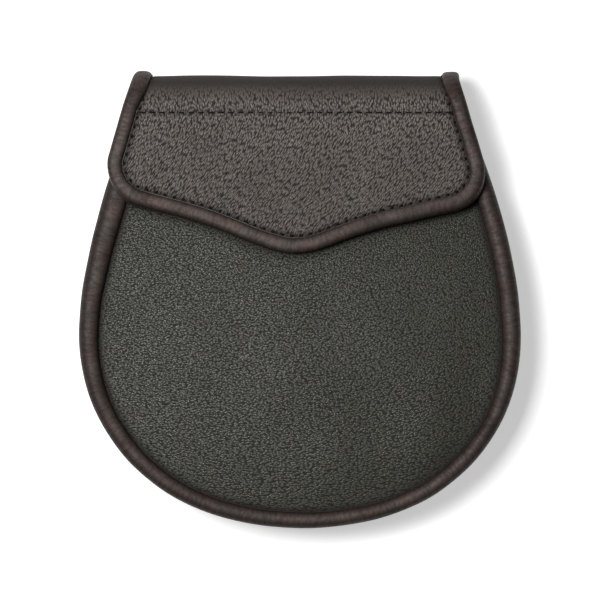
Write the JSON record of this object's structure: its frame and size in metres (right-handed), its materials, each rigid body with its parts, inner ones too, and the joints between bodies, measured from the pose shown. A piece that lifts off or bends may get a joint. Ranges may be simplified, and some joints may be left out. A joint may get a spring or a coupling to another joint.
{
  "type": "sporran pouch",
  "caption": "Pear-shaped leather day sporran pouch with rolled bindings, a gusset, a bound pointed flap folded over its mouth and a strap loop on the back.",
  "frame": {"origin": "under the middle of the whole pouch as it lies on its back, on the table", "axes": "+X across the pouch, +Y from the round bottom to the fold of the flap, +Z from the back to the front"},
  "size_m": [0.18, 0.1853, 0.0386],
  "materials": {
    "pouch_leather": "fine pebble grain, satin",
    "flap_leather": "coarser pebble grain, satin",
    "binding_leather": "smooth, finely creased, soft sheen",
    "snap_metal": "satin"
  },
  "bodies": {
    "root": {"front_panel": "pouch_leather", "back_panel": "pouch_leather", "gusset": "pouch_leather", "front_binding": "binding_leather", "back_binding": "binding_leather", "flap": "flap_leather", "flap_binding": "binding_leather", "strap_loop": "pouch_leather", "snap_disc": "snap_metal"}
  },
  "joints": []
}
